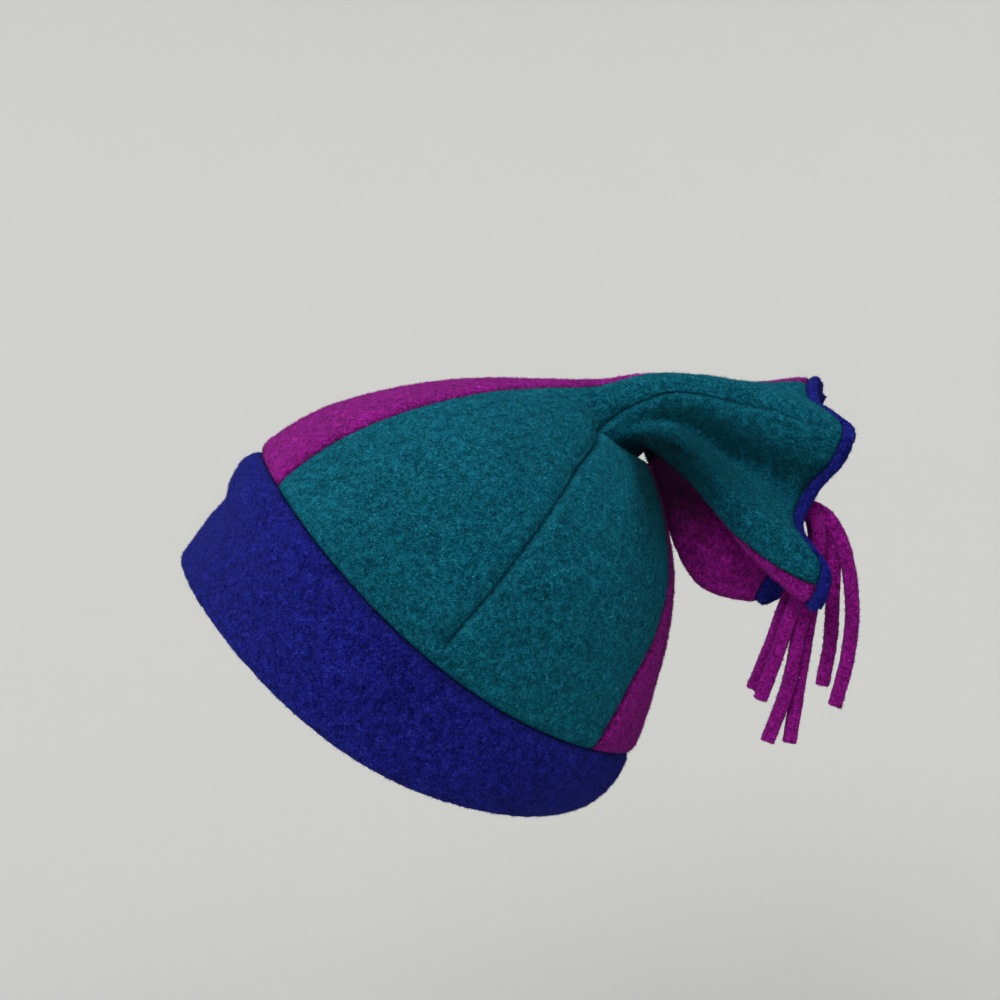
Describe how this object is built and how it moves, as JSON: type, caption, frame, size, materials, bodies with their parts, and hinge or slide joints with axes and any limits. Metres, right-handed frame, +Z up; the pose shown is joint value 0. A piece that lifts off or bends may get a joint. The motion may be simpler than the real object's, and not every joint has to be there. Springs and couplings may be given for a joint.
{
  "type": "fleece tail hat",
  "caption": "Pull-on fleece hat shaped as worn: folded brow band, coloured crown panels, a short tail that flops back and flares into soft lobes, and a tassel.",
  "frame": {"origin": "middle of the wearer's head, level with the middle of the seam between brow band and crown", "axes": "+Z up, the wearer faces -X, the wearer's left side is -Y; the hat is worn tipped back by 39 degrees"},
  "size_m": [0.2816, 0.1642, 0.1804],
  "materials": {
    "blue_fleece": "soft brushed nap",
    "teal_fleece": "soft brushed nap",
    "magenta_fleece": "soft brushed nap"
  },
  "bodies": {
    "root": {"brow_band": "blue_fleece", "front_panel": "magenta_fleece", "left_panel": "teal_fleece", "back_panel": "magenta_fleece", "right_panel": "teal_fleece", "end_cap": "blue_fleece", "tassel": "magenta_fleece"}
  },
  "joints": []
}
